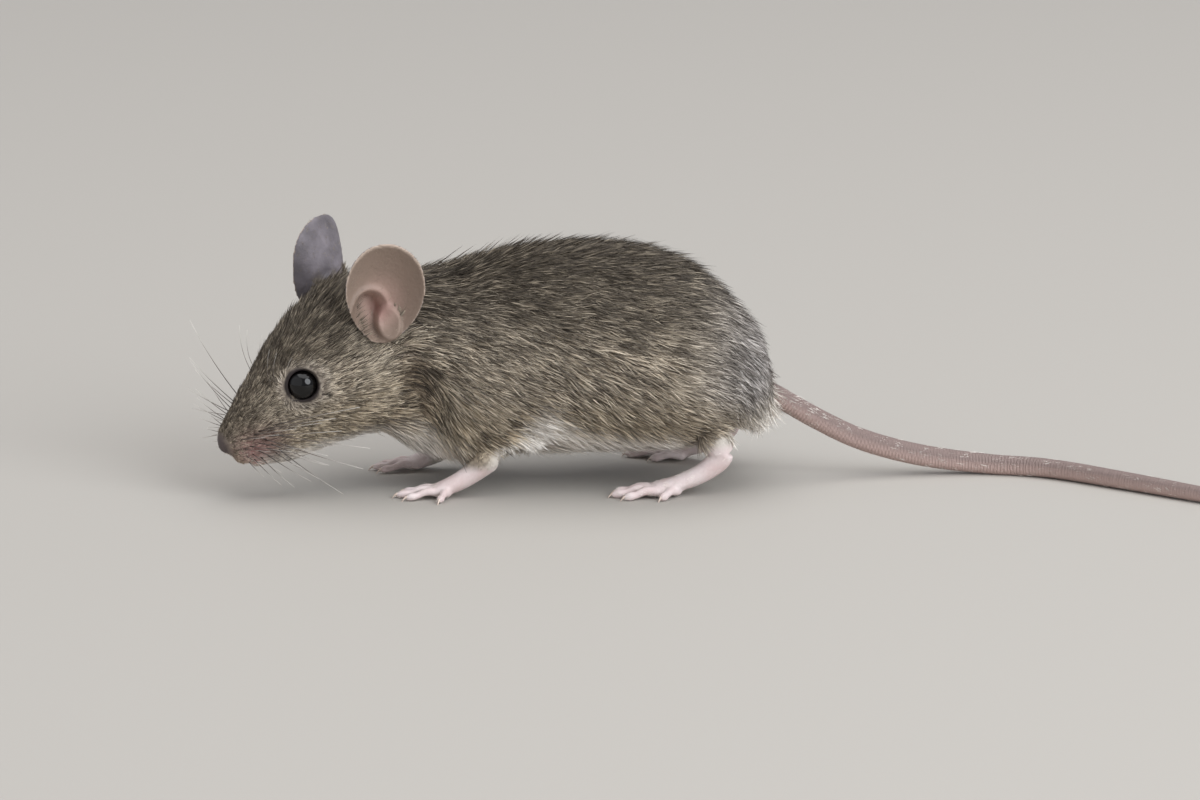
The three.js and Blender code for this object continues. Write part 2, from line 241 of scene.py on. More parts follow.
def joined(name, pieces):
    pick(*pieces)
    bpy.ops.object.join()
    return named(name)


# %% What lies nearest
def nearest(points, cloud, reach=None):
    """For each point, the nearest member of the cloud: its number and how far it is."""
    number, far = np.zeros(len(points), int), np.full(len(points), 99.0)
    wanted = np.arange(len(points))
    if reach is not None:
        wanted = np.nonzero(((points > cloud.min(0) - reach) & (points < cloud.max(0) + reach)).all(1))[0]
    tree = KDTree(len(cloud))
    for i, place in enumerate(cloud.tolist()):
        tree.insert(place, i)
    tree.balance()
    find = tree.find
    found = [find(point)[1:] for point in points[wanted].tolist()]
    number[wanted], far[wanted] = np.array(found).T
    return number, far


# %% [markdown]
# ## The flesh under the coat
#
# The solids of head, neck, trunk, thighs and forelegs are copied, grown a little so that the thin cuts between
# them close, and remeshed as one body. Smoothing takes the facets off. The body is then sunk by the depth of
# the coat: nothing on the nose, about 2 mm on the back.

# %% One body from the solids
EYE_PLACE, EYE_RADIUS = (11.74, 3.9, 2.0), 1.8
EYES = {"left": head_point(EYE_PLACE), "right": head_point(EYE_PLACE * np.array([1, -1, 1]))}
FURRED = ["head", "neck", "trunk", "thigh_left", "thigh_right", "foreleg_left", "foreleg_right"]
GROWN = 0.2  # mm
copies = []
for node_name in FURRED + ["eye_left", "eye_right"]:
    mesh = nodes[node_name].data.copy()
    copy = bpy.data.objects.new("flesh_" + node_name, mesh)
    bpy.context.collection.objects.link(copy)
    pick(copy)
    bpy.ops.object.mode_set(mode="EDIT")
    bpy.ops.mesh.select_all(action="SELECT")
    bpy.ops.mesh.remove_doubles(threshold=0.001 * MM)
    bpy.ops.object.mode_set(mode="OBJECT")
    finish_with(copy, "DISPLACE", strength=GROWN * MM, mid_level=0.0)
    copies.append(copy)
CHEST = [[-29.0, -2.5, 11.6, 3.8, 3.5], [-24.5, -1.5, 9.9, 5.0, 4.2], [-20.0, -0.5, 9.0, 6.2, 4.9], [-12.0, 0.0, 10.5, 7, 5.2]]
UPPER_ARM = [[-11.0, 6.0, 10.5, 3.2, 3.2], [-16.2, 7.0, 6.8, 2.4, 2.6], [-18.7, 7.3, 3.9, 1.9, 1.8], [-19.6, 7.2, 2.1, 1.3, 1.2]]
copies.append(swept("chest", CHEST))
copies.append(swept("arm_right", UPPER_ARM))
body = joined("body", copies)
finish_with(body, "REMESH", mode="VOXEL", voxel_size=0.5 * MM)
snout = ease(2.0, 9.0, head_place(points_of(body))[:, 0])
finish_with(body, "SMOOTH", factor=0.5, iterations=24, vertex_group=weights(body, "soft", 0.05 + 0.95 * snout))
print("body:", len(body.data.vertices), "points")


# %% How deep the coat is
def coat_depth(mm):
    """Millimetres from the skin out to the lie of the coat."""
    back, out, up = np.moveaxis(head_place(mm), -1, 0)
    x, y, z = np.moveaxis(mm, -1, 0)
    on_head = 0.1 + 0.25 * ease(0.8, 5, back) + 0.45 * ease(5, 14, back) + 0.5 * ease(13, 21, back)
    on_body = 1.6 - 0.4 * ease(9, 4, z) - 0.9 * ease(15, 20, x) - 0.5 * ease(-12, -18, x) * ease(16, 9, z)
    on_body -= 0.75 * ease(8, 5, z) * ease(-9, -12, x) * ease(4.2, 6.0, np.abs(y)) + 0.25 * ease(4, 2.4, z)
    depth = on_head + (on_body - on_head) * ease(-27, -18, x + 0.35 * (z - 14))
    for eye in EYES.values():
        depth = 0.12 + (depth - 0.12) * ease(2.1, 4.6, np.linalg.norm(mm - eye, axis=-1))
    return depth


mm = points_of(body)
move_points(body, mm - normals_of(body) * (coat_depth(mm) + GROWN)[:, None])
finish_with(body, "SMOOTH", factor=0.5, iterations=6)
mm = points_of(body)
neck = np.exp(-((np.stack([mm[:, 0] + 20, np.abs(mm[:, 1]) - 5.5, mm[:, 2] - 10.5], -1) / [5.0, 5.0, 6.0]) ** 2).sum(1))
finish_with(body, "SMOOTH", factor=0.5, iterations=40, vertex_group=weights(body, "neck", 1.3 * neck - 0.15))

# %% [markdown]
# ## Ears
#
# A mouse's ear is a thin, nearly bare leaf of gristle, wide above and rolled into a funnel below. Inside it,
# an arched fold roofs the dark hollow and a rounded flap half covers it from behind. Each ear is a sphere
# pressed flat: its near half becomes the inner face and its far half the outer face.

# %% The leaf of an ear
EAR_LENGTH, EAR_WIDTH, EAR_MIDDLE, EAR_CUP, EAR_DEEPEST = 12.4, 9.7, 0.55, 3.4, 0.27
EAR_WALL = 0.5
EARS = {
    "left": {"notch": (21.2, 7.9, 2.1), "along": (0.61, -0.11, 0.8), "facing": (-0.2, 0.93, 0.28), "side": 1,
             "blunt": 0.0, "square": 1.0, "tuck": 0.3, "folds": 1.0},
    "right": {"notch": (20.2, 8.5, 0.2), "along": (0.48, 0.06, 0.88), "facing": (-0.42, 0.87, 0.25), "side": -1,
              "blunt": 0.16, "square": 0.8, "tuck": 1.3, "folds": 0.25},
}


def ear_axes(name):
    """The ear's middle, and the ways across to its back edge, along to its tip, and out of its bowl."""
    ear = EARS[name]
    side = np.array([1, ear["side"], 1])
    along = head_direction(*(side * ear["along"]))
    facing = head_direction(*(side * ear["facing"]))
    facing -= along * (facing @ along)
    facing /= np.linalg.norm(facing)
    across = np.cross(along, facing) * ear["side"]
    middle = head_point(side * ear["notch"]) + along * EAR_LENGTH * EAR_MIDDLE
    return middle, across, along, facing


def ear_place(name, mm):
    """Places across, along and out of an ear's bowl."""
    middle, across, along, facing = ear_axes(name)
    return ((mm - middle) @ np.stack([across, along, facing], -1)).T


def bowl_height(name, p, q):
    """How deep the leaf lies at a place across and along it, and the share of the way out to its rim."""
    k = EAR_LENGTH * (EAR_DEEPEST - EAR_MIDDLE)
    rest, a, share = q - k, EAR_WIDTH / 2, 0
    for half, narrows in ((1 - EAR_MIDDLE, 0.0), (EAR_MIDDLE, 0.0), (EAR_MIDDLE, 0.22)):
        b = half * EAR_LENGTH
        sine = np.clip((rest + k * share) / (b * np.maximum(share, 0.01)), -1, 1)
        across = p / (a * (1 - narrows * sine**2))
        square = b * b - k * k
        found = (rest * k + np.sqrt((rest * k) ** 2 + square * (rest**2 + (b * across) ** 2))) / square
        share = found if half < 0.5 else np.where(rest + k * share > 0, share, found)
    share = np.clip(share, 0, 1.2)
    angle = np.arctan2((rest + k * share) / np.where(rest + k * share > 0, 1 - EAR_MIDDLE, EAR_MIDDLE) / EAR_LENGTH, p / a)
    ripple = 0.22 * np.sin(2 * angle + 0.6) * np.clip(share, 0, 1) ** 4
    return -EAR_CUP * (1 - np.clip(share, 0, 1) ** 1.4) + ripple - EARS[name]["tuck"] * ease(-3.4, -6.8, q), share


def ear_leaf(name):
    deselect()
    bpy.ops.mesh.primitive_uv_sphere_add(segments=112, ring_count=96, radius=1)
    piece = named("ear_leaf_" + name)
    ball = np.array([v.co for v in piece.data.vertices])
    t = np.arccos(np.clip(ball[:, 2], -1, 1)) / math.pi
    angle = np.arctan2(ball[:, 1], ball[:, 0])
    inner = t < 0.5
    share = 1 - np.abs(1 - 2 * t)
    rise = np.where(np.sin(angle) > 0, 1 - EAR_MIDDLE, EAR_MIDDLE) * (EAR_LENGTH - 0.15)
    taper = 1 - 0.22 * np.clip(-np.sin(angle), 0, 1) ** 2
    blunt = 1 + EARS[name]["blunt"] * np.clip(np.sin(angle), 0, 1)
    square = np.where(np.sin(angle) > 0, EARS[name]["square"], 1.0)
    p = 0.5 * (EAR_WIDTH - 0.15) * np.sign(np.cos(angle)) * np.abs(np.cos(angle)) ** square * taper * blunt * share
    q = rise * np.sin(angle) * share + EAR_LENGTH * (EAR_DEEPEST - EAR_MIDDLE) * (1 - share)
    depth = -EAR_CUP * (1 - share**1.4)
    wall = EAR_WALL * np.sqrt(np.clip(1 - share**40, 0, 1))
    depth = depth + np.where(inner, wall / 2, -wall / 2)
    depth -= EARS[name]["tuck"] * ease(-3.4, -6.8, q)  # the lower edge turns in to the head
    depth += 0.22 * np.sin(2 * angle + 0.6) * share**4
    p *= 1 + np.where(p > 0, 0.03, 0.0) * (1 - EARS[name]["square"]) * 2.5 * q
    middle, across, along, facing = ear_axes(name)
    move_points(piece, middle + np.outer(p, across) + np.outer(q, along) + np.outer(depth, facing))
    leaf_clouds.append(points_of(piece))
    leaf_shares.append(share)
    leaf_inners.append(inner.astype(float))
    pick(piece)
    bpy.ops.object.mode_set(mode="EDIT")
    bpy.ops.mesh.select_all(action="SELECT")
    bpy.ops.mesh.normals_make_consistent(inside=False)
    bpy.ops.object.mode_set(mode="OBJECT")
    return piece


leaf_clouds, leaf_shares, leaf_inners = [], [], []
leaves = [ear_leaf(name) for name in EARS]
for name in EARS:
    middle, across, along, facing = ear_axes(name)
    root_at = middle - 1.8 * across - 3.6 * along - 4.9 * facing
    leaves.append(pebble("ear_root_" + name, root_at, (2.3, 2.9, 1.9), np.stack([across, along, facing], -1)))
print("ear leaf:", len(leaves[0].data.vertices), "points")

# %% [markdown]
# ## Feet
#
# A mouse stands on four fingers in front, as the thumb is a mere stub, and on the long soles of its hind feet
# with five toes. Each digit dips from its root over a knuckle to a soft pad, and ends in a claw.

# %% Lines of the feet
FORE_PALM = [
    [-14.0, -7.5, 4.4, 1.5, 1.55],
    [-15.8, -7.25, 2.75, 1.25, 1.2],
    [-17.8, -7.2, 1.6, 1.3, 1.02],
    [-19.7, -7.1, 0.88, 1.5, 0.8],
]
FORE_DIGITS = [
    [-18.6, -8.1, -19.6, -10.2, 0.92],
    [-19.3, -7.8, -23.2, -8.7, 0.98],
    [-19.4, -7.0, -24.2, -7.1, 1.0],
    [-19.2, -6.3, -23.4, -5.5, 0.95],
]
HIND_SOLE = [
    [12.2, -8.7, 7.4, 1.5, 1.7],
    [13.5, -8.4, 4.9, 1.25, 1.5],
    [11.8, -8.4, 2.95, 1.15, 1.2],
    [8.7, -8.5, 1.55, 1.3, 0.98],
    [5.9, -8.7, 0.9, 1.55, 0.85],
]
HIND_DIGITS = [
    [8.2, -9.2, 6.3, -11.3, 0.92],
    [6.2, -9.6, 2.2, -10.7, 1.0],
    [5.8, -8.9, 0.9, -9.2, 1.05],
    [6.1, -8.1, 1.3, -7.8, 1.0],
    [8.0, -7.6, 4.8, -6.4, 0.92],
]
HEEL = np.array([13.6, -8.4])
LEGS = {
    "left": {"side": 1, "fore": (0, 0), "hind": (0, 0), "turn": 0, "bend": 0.0},
    "right": {"side": -1, "fore": (-1.9, 0), "hind": (2.4, -1.2), "turn": 22, "bend": 0.25},
}


def stand(rows, leg, which):
    """Rows of a left foot, turned about the heel, mirrored for the right side and moved to its place."""
    rows = np.array(rows, float)
    angle = math.radians(leg["turn"] if which == "hind" else 0)
    x, y = rows[:, 0] - HEEL[0], rows[:, 1] - HEEL[1]
    rows[:, 0] = HEEL[0] + x * math.cos(angle) - y * math.sin(angle)
    rows[:, 1] = (HEEL[1] + x * math.sin(angle) + y * math.cos(angle)) * leg["side"]
    rows[:, :2] += leg[which]
    if which == "fore":
        rows[:, 0] -= leg["bend"] * np.clip(rows[:, 2] - 1, 0, 2)
        rows[:, 2] -= leg["bend"] * np.clip(rows[:, 2] - 1, 0, 4)
    return rows


def digit_rows(line, radius):
    root_x, root_y, tip_x, tip_y, knuckle = line
    heights = [0.75, knuckle, 0.62, 0.5, 0.42]
    shares = [0.0, 0.42, 0.7, 0.9, 1.0]
    sizes = [1.15, 1.0, 0.82, 1.0, 0.75]
    return [
        [root_x + (tip_x - root_x) * t, root_y + (tip_y - root_y) * t, z, radius * k, radius * k]
        for t, z, k in zip(shares, heights, sizes)
    ]


feet, claw_lines, foot_lines = [], [], []
for leg_name, leg in LEGS.items():
    for which, sole, digits, radius in (
        ("fore", FORE_PALM, FORE_DIGITS, 0.48), ("hind", HIND_SOLE, HIND_DIGITS, 0.55),
    ):
        rows = stand(sole, leg, which)
        foot_lines.append(rows)
        feet.append(swept(f"{which}_sole_{leg_name}", rows, rings=48, sides=32))
        for k, line in enumerate(digits):
            rows = stand(digit_rows(line, radius), leg, which)
            foot_lines.append(rows)
            claw_lines.append((rows[-2], rows[-1]))
            feet.append(swept(f"{which}_digit_{leg_name}_{k}", rows, rings=30, sides=20))
print("feet:", len(feet), "forms,", len(claw_lines), "claws to come")

# %% [markdown]
# ## Tail
#
# The tail is about as long as the body, thick as a knitting needle at its root and fine as a bristle at its
# tip. It comes down from the rump and lies on the floor in one slow bend.

# %% The tail's line
TAIL_ROUTE = [
    [17.5, 0, 11.6], [21.0, 0, 9.7], [25.5, 0, 7.0], [31.0, -0.1, 4.3], [38.0, -0.3, 2.3], [46.0, -0.9, 1.2],
    [53.0, -3.6, 1.15], [61.0, -10.3, 1.1], [69.3, -17.8, 1.0], [77.0, -24.0, 0.8], [84.5, -28.0, 0.55],
    [91.8, -29.6, 0.36],
]
TAIL_RADII = [1.3, 1.28, 1.3, 1.32, 1.32, 1.24, 1.16, 1.08, 0.95, 0.8, 0.62, 0.42]
tail_rows = [place + [r * 0.97, r * 0.97] for place, r in zip(TAIL_ROUTE, TAIL_RADII)]
tail = swept("tail", tail_rows, rings=360, sides=32, round_end=0.006)
tail_line = along_curve(tail_rows, np.linspace(0, len(tail_rows) - 1, 400))[:, :3]
tail_run = np.concatenate([[0], np.cumsum(np.linalg.norm(np.diff(tail_line, axis=0), axis=1))])
print("tail:", round(float(tail_run[-1]), 1), "mm")

# %% [markdown]
# ## The muzzle and the lids
#
# Small forms give the face its parts before everything is fused: the nose pad, two puffed whisker pads with a
# cleft between them, the chin, and a thin shell over each eyeball that will be cut open as the lids.

# %% Forms of the face
LID = 0.2  # mm thick
face = [pebble("nose_pad", head_point([0.95, 0, -0.75]), (0.8, 1.1, 0.95))]
for side in (1, -1):
    face.append(pebble("whisker_pad", head_point([3.2, side * 1.45, -2.1]), (2.5, 1.2, 1.75)))
    face.append(pebble("chin", head_point([4.6, side * 0.35, -4.7]), (2.3, 1.3, 1.1)))
for eye in EYES.values():
    face.append(pebble("lid", eye, (EYE_RADIUS + LID,) * 3))

# %% Fuse the skin
skin = joined("skin", [body, tail, *leaves, *feet, *face])
FINE = 0.2  # mm, a fifth of the thickness of a toe
finish_with(skin, "REMESH", mode="VOXEL", voxel_size=FINE * MM)
finish_with(skin, "SMOOTH", factor=0.5, iterations=3)
leaf_near = np.minimum(*(nearest(points_of(skin), cloud, 0.5)[1] for cloud in leaf_clouds))
finish_with(skin, "SMOOTH", factor=0.5, iterations=7, vertex_group=weights(skin, "leaves", ease(0.5, 0.3, leaf_near)))
print("skin:", len(skin.data.vertices), "points")

# %% [markdown]
# ## Eyes and lids
#
# A mouse's eye is a round black bead that stands well out of its head, held by thin dark lids. The ball is cut
# out of the skin first, and then a cone is cut along the way that the eye looks, so that the shell that is left
# over the ball's edge becomes the lids.

# %% Cut the lids open
EYE_LOOKS = (-0.22, 0.88, 0.42)
OPENING = 1.68  # mm, radius between the lids
BALL_GAP = 0.03
rim_out = math.sqrt(EYE_RADIUS**2 - OPENING**2)
CONE_DEPTH = 3.4


def cut(piece, tool):
    finish_with(piece, "BOOLEAN", operation="DIFFERENCE", object=tool, solver="MANIFOLD")
    pick(tool)
    bpy.ops.object.delete()


eyes, cones = [], []
eye_looks = {name: head_direction(*(EYE_LOOKS * np.array([1, side, 1]))) for name, side in (("left", 1), ("right", -1))}
for name, eye in EYES.items():
    looks = eye_looks[name]
    deselect()
    bpy.ops.mesh.primitive_cone_add(vertices=96, radius1=OPENING * 0.7, radius2=OPENING * 1.9, depth=CONE_DEPTH)
    cone = named("cone_tool")
    round_about = np.array(Vector(looks).to_track_quat("Z", "Y").to_matrix())
    cone_mm = np.array([v.co for v in cone.data.vertices])
    corner = np.array([0.93, 0.0, -0.37]) @ HEAD_AXES.T @ round_about[:, :2]
    angle = np.arccos(np.clip(cone_mm[:, :2] @ corner / np.maximum(np.linalg.norm(cone_mm[:, :2], axis=1), 0.01), -1, 1))
    cone_mm[:, :2] *= (1 + 0.16 * np.exp(-((angle / 0.33) ** 2)))[:, None]
    cone_mm += [0, 0, CONE_DEPTH / 2 + rim_out - 0.82]
    move_points(cone, eye + cone_mm @ round_about.T)
    cones.append(cone)
    ball = pebble("eyeball_" + name, eye, (EYE_RADIUS,) * 3)
    finish_with(ball, "SUBSURF", levels=1, render_levels=1)
    move_points(ball, eye + unit(points_of(ball) - eye) * EYE_RADIUS)
    pick(ball)
    bpy.ops.object.shade_smooth()
    eyes.append(ball)
cut(skin, joined("ball_tools", [pebble("ball_tool", eye, (EYE_RADIUS + BALL_GAP,) * 3) for eye in EYES.values()]))
cut(skin, joined("cone_tools", cones))
print("skin with lids:", len(skin.data.vertices), "points")

# %% [markdown]
# ## Zones of the animal
#
# The same soft-edged zones colour the skin and the coat over it: the pale belly, the dusky back, the bare ears,
# feet and tail, and the pink of the nose.

# %% Zones
HEAD_UNDER = ([0, 2, 4.2, 7.2, 11, 14.6, 18.4, 22.4], [-1.0, -4.2, -6.2, -7.8, -8.7, -9.8, -11.4, -12.6])
FOOT_CLOUD = np.vstack([along_curve(rows, np.linspace(0, len(rows) - 1, 24)) for rows in foot_lines])


def eye_far(mm):
    return np.minimum(*(np.linalg.norm(mm - eye, axis=1) for eye in EYES.values()))


def spot(place, centre, radii):
    return np.exp(-(((place - centre) / radii) ** 2).sum(-1))


def zones(mm):
    local = head_place(mm)
    back, out, up = local[:, 0], np.abs(local[:, 1]), local[:, 2]
    both = np.stack([back, out, up], -1)
    x, y, z = mm.T
    on_head = ease(-18, -25, x + 0.35 * (z - 14))
    edge = 8.2 + 3.0 * np.exp(-(((x + 9.3) / 3.0) ** 2)) + 3.0 * ease(12, 18, x) - 2.2 * ease(-12, -15, x)
    under = np.interp(back, *HEAD_UNDER)
    edge -= 1.7 * ease(5, 8, x) * ease(14, 12.5, x) * ease(5.5, 7, np.abs(y))
    edge -= 3.0 * ease(-11.5, -13, x) * ease(5.4, 6.6, np.abs(y)) + 3.4 * ease(-15, -18, x)
    pale = ease(edge + 1.6, edge - 1.4, z) * (1 - on_head) + on_head * ease(under + 4.4, under + 1.2, up) * ease(1.0, 3.0, back)
    pale *= 1 - 0.35 * ease(-13, -17, x) * (1 - on_head)
    dusk = ease(16, 27, z) * (1 - on_head) * (1 - 0.55 * ease(6, 16, x)) + 0.8 * on_head * ease(1.0, 5.0, up)
    dusk = np.maximum(dusk, 0.95 * spot(both, [2.6, 0.6, 1.2], [6.0, 2.8, 2.4])) * ease(2.0, 3.2, eye_far(mm))
    # Painted shade: the crease where the neck meets the shoulder is darkened in the coat's colour, through dusk here
    # and through fold (dark guard hairs, darker lots); fold and dusk also hold a darker patch at the nape.
    crease_shade = np.exp(-(((x + 20.8) / 1.3) ** 2 + ((z - 15.9 - 0.4 * (x + 20.8)) / 0.4) ** 2))
    crease_shade += 0.6 * np.exp(-(((x + 21.8) / 0.6) ** 2 + ((z - 13.6) / 0.3) ** 2))
    nape = np.exp(-(((x + 18.5) / 2.0) ** 2 + ((z - 26) / 1.8) ** 2))
    fold = np.clip(0.75 * crease_shade + 0.4 * nape, 0, 1) * (y < 0)
    dusk = np.maximum(dusk, np.clip(0.35 * crease_shade + 0.8 * nape, 0, 1))
    warm = ease(15, 9, z) * ease(4, 6, z) * (1 - on_head) + on_head * ease(0, -3, up) * ease(4, 7, back)
    foot_at, foot_far = nearest(mm, FOOT_CLOUD[:, :3], 4)
    ankle = np.where(x < 0, ease(4.3, 3.0, z + 1.2 * (y > 0)), ease(6.6, 5.2, z))
    ankle = np.where((x < 0) & (y > 0), ankle * ease(-19.0, -20.2, x), ankle)
    foot = ease(1.6, 0.6, foot_far - FOOT_CLOUD[foot_at, 3]) * ankle
    tail_at, tail_far = nearest(mm, tail_line, 4)
    tail_zone = ease(18.6, 20.2, x) * ease(3.2, 2.0, tail_far)
    tail_top = ease(-0.6, 0.9, (z - tail_line[tail_at, 2]) / 1.2)
    ear, ear_share, ear_inner, ear_back, on_leaf, hidden = np.zeros((6, len(mm)))
    for name, cloud, share, inner in zip(EARS, leaf_clouds, leaf_shares, leaf_inners):
        at, far = nearest(mm, cloud, 5.0)
        closer = far < 5.0
        p, q, bowl = ear_place(name, mm)
        height, share_here = bowl_height(name, p, q)
        above = bowl - height
        inner_face = (inner[at] > 0.5) * (far < 0.9)
        in_bowl = ease(1.03, 0.95, share_here) * np.maximum(above > -0.2, inner_face) * (bowl < 0.6)
        furred = ease(0.0, -0.15, above) * ease(-0.2, -2.4, q + 0.5 * np.sin(3 * p)) * (1 - inner_face)
        ear_back = np.maximum(ear_back, furred * ease(0.9, 0.4, far))
        leaf = ease(0.7, 0.3, far) * (1 - furred)
        under_pit = (np.hypot((p + 1.7) / 2.7, (q + 3.8) / 3.6) < 1) * (above < -0.1) * (above > -4.7)
        hidden = np.maximum(hidden, under_pit)
        on_leaf = np.maximum(on_leaf, ease(1.0, 0.4, far))
        ear = np.maximum(ear, np.maximum(leaf, in_bowl * closer))
        ear_share[closer] = share[at[closer]]
        ear_inner[closer] = np.where(far < 0.6, inner[at], above > 0)[closer]
    lid = np.zeros(len(mm))
    for name, eye in EYES.items():
        reach = np.linalg.norm(mm - eye, axis=1)
        off_axis = np.degrees(np.arccos(np.clip(unit(mm - eye) @ eye_looks[name], -1, 1)))
        lid = np.maximum(lid, ease(75, 70, off_axis) * ease(2.5, 2.2, reach))
    ring = ease(3.2, 2.4, eye_far(mm))
    return {
        "pale": pale, "dusk": dusk, "grey": np.maximum(ease(4, 16, x) * (1 - 0.7 * warm), 0.3 * ring), "warm": 0.7 * warm, "foot": foot, "tail": tail_zone,
        "run": tail_run[tail_at], "tail_top": tail_top, "on_leaf": on_leaf, "ear": ear, "ear_share": ear_share, "ear_inner": ear_inner, "ear_back": ear_back, "hidden": hidden,
        "nose": np.clip(1.5 * spot(both, [0.2, 0.0, -0.4], [1.5, 1.7, 1.6]), 0, 1), "flush": 0.9 * spot(both, [3.7, 2.6, -1.9], [2.3, 1.9, 1.8]),
        "fold": fold, "lips": spot(both, [3.0, 1.2, -4.2], [2.6, 2.2, 0.9]), "lid": lid, "on_head": on_head,
    }


def mark(piece, **values):
    for name, numbers in values.items():
        layer = piece.data.attributes.new(name, "FLOAT", "POINT")
        layer.data.foreach_set("value", np.asarray(numbers, np.float32))


# %% Fewer points where the coat will cover
rough = zones(points_of(skin))
keep = np.maximum.reduce([rough["foot"], rough["ear"], rough["lid"], rough["nose"], rough["lips"], 0.6 * rough["tail"]])
finish_with(skin, "DECIMATE", ratio=0.47, vertex_group=weights(skin, "plain", 1 - 0.9 * keep))
print("skin:", sum(len(p.vertices) - 2 for p in skin.data.polygons), "triangles")

# %% [markdown]
# ## Folds of ear, nose and mouth
#
# The last small folds are pressed into the fused skin. In each ear an arched fold roofs a dark hollow, and a
# round flap half covers it from behind. The nose gets its nostrils and cleft, and the lips their line.


# %% Press the folds
def groove(distance, half_width):
    return np.exp(-((distance / half_width) ** 2))


def press_ears(mm, zone):
    moved = mm.copy()
    for name in EARS:
        facing = ear_axes(name)[3]
        p, q, depth = ear_place(name, mm)
        near = zone["on_leaf"] * (np.hypot(p / 6, q / 8) < 1) * (np.abs(depth) < 7) * EARS[name]["folds"]
        off_pit = np.hypot((p + 1.7) / 1.8, (q + 3.7) / 2.6)
        pit = ease(1.2, 0.7, off_pit)
        flap = ease(1.2, 0.8, np.hypot((p - 0.95) / 1.35, (q + 4.3) / 1.85))
        arch = groove(np.hypot((p + 1.4) / 2.3, (q + 3.2) / 2.7) - 1, 0.15) * ease(-3.6, -2.0, q)
        slit = groove(p + 0.3, 0.4) * groove(q + 5.8, 0.9)
        fold = 0.8 * flap + 0.45 * arch * (1 - flap) - 1.15 * pit * (1 - flap) - 0.7 * slit * (1 - 0.7 * flap)
        moved += np.outer(fold * near, facing)
    return moved


def press_face(mm):
    back, left, up = head_place(mm).T
    out = np.abs(left)
    front = ease(8, 5, back)
    nostril = groove(np.hypot(back - 0.75, out - 0.8), 0.3) * groove(up + 0.85, 0.32)
    cleft = groove(left, 0.16) * ease(-1.2, -1.7, up) * ease(3.0, 2.0, back)
    lips = groove(up + 3.5 + 0.62 * out, 0.2) * front
    inward = np.stack([0.6 + 0 * back, -0.8 * np.sign(left), 0.1 + 0 * up], -1)
    straight = np.stack([0.9 + 0 * back, -0.35 * left, 0.15 + 0 * up], -1)
    shift = inward * (0.4 * nostril)[:, None] + straight * (0.22 * cleft + 0.25 * lips)[:, None]
    return head_point(head_place(mm) + shift)


rough = zones(points_of(skin))
move_points(skin, press_face(press_ears(points_of(skin), rough)))
skin_zones = rough
mark(skin, **skin_zones, guard=0.3 + 0 * rough["ear"], lot=0.5 + 0 * rough["ear"])
pick(skin)
bpy.ops.object.shade_smooth()

# %% [markdown]
# ## Materials

# %% Colours and nodes


def colour(code):
    """An sRGB hex colour as the linear one that nodes take."""
    parts = [int(code[i : i + 2], 16) / 255 for i in (1, 3, 5)]
    return [c / 12.92 if c <= 0.04045 else ((c + 0.055) / 1.055) ** 2.4 for c in parts] + [1.0]


def add(tree, kind, settings=None, values=None, links=None, stops=()):
    """Adds one node with its settings, the values of its inputs, its links and a ramp's stops."""
    made = tree.nodes.new("ShaderNode" + kind)
    for key, value in (settings or {}).items():
        setattr(made, key, value)
    for key, value in (values or {}).items():
        made.inputs[key].default_value = value
    for key, source in (links or {}).items():
        tree.links.new(source, made.inputs[key])
    for k, (place, shade) in enumerate(stops):
        stop = made.color_ramp.elements[k] if k < 2 else made.color_ramp.elements.new(place)
        stop.position, stop.color = place, colour(shade)
    return made


def new_material(name, **values):
    material = bpy.data.materials.new(name)
    material.use_nodes = True
    shader = material.node_tree.nodes["Principled BSDF"]
    for key, value in values.items():
        shader.inputs[key.replace("_", " ")].default_value = value
    return material, material.node_tree, shader


def blend(tree, factor, first, second, kind="MIX"):
    """Mixes two colours by an attribute's name or a socket."""
    if isinstance(factor, str):
        factor = add(tree, "Attribute", {"attribute_name": factor}).outputs["Fac"]
    sides = {"Color1": first, "Color2": second}
    values = {key: colour(side) for key, side in sides.items() if isinstance(side, str)}
    links = {key: side for key, side in sides.items() if not isinstance(side, str)}
    return add(tree, "MixRGB", {"blend_type": kind}, values, {**links, "Fac": factor}).outputs["Color"]


# %% The coat's colours
def hair_colour(tree, along):
    """Banded hair, from slate root over brown and a straw band to a dark tip, and its kinds over the body."""
    kinds = {
        "banded": [(0.0, "#71675e"), (1.0, "#7c6e61"), (0.35, "#a79888"), (0.62, "#e8d8c0"), (0.85, "#f3e5cf")],
        "warm": [(0.0, "#817565"), (1.0, "#95826b"), (0.35, "#b9a58b"), (0.62, "#f6e2c2"), (0.85, "#fdecd0")],
        "dusky": [(0.0, "#4f4844"), (1.0, "#453e39"), (0.4, "#716759"), (0.72, "#b3a590")],
        "ashy": [(0.0, "#7d7775"), (1.0, "#958e8b"), (0.4, "#b3aca8"), (0.72, "#f0e9e4")],
        "white": [(0.0, "#d2c8be"), (1.0, "#fffaf3"), (0.5, "#f6eee4")],
        "pinkish": [(0.0, "#8d6865"), (1.0, "#b8908a"), (0.5, "#a67f7a")],
        "guard": [(0.0, "#4a433e"), (1.0, "#2b2521"), (0.5, "#544b42")],
    }
    tone = {kind: add(tree, "ValToRGB", links={"Fac": along}, stops=stops).outputs["Color"] for kind, stops in kinds.items()}
    shade = blend(tree, "warm", tone["banded"], tone["warm"])
    shade = blend(tree, "grey", shade, tone["ashy"])
    shade = blend(tree, "dusk", shade, tone["dusky"])
    shade = blend(tree, "guard", shade, tone["guard"])
    shade = blend(tree, "pale", shade, tone["white"])
    shade = blend(tree, "flush", shade, tone["pinkish"])
    lot = add(tree, "Attribute", {"attribute_name": "lot"}).outputs["Fac"]
    lots = add(tree, "ValToRGB", links={"Fac": lot}, stops=[(0.0, "#8e8a86"), (1.0, "#ffffff")]).outputs["Color"]
    full = add(tree, "Value")
    full.outputs[0].default_value = 1.0
    return blend(tree, full.outputs[0], shade, lots, "MULTIPLY")


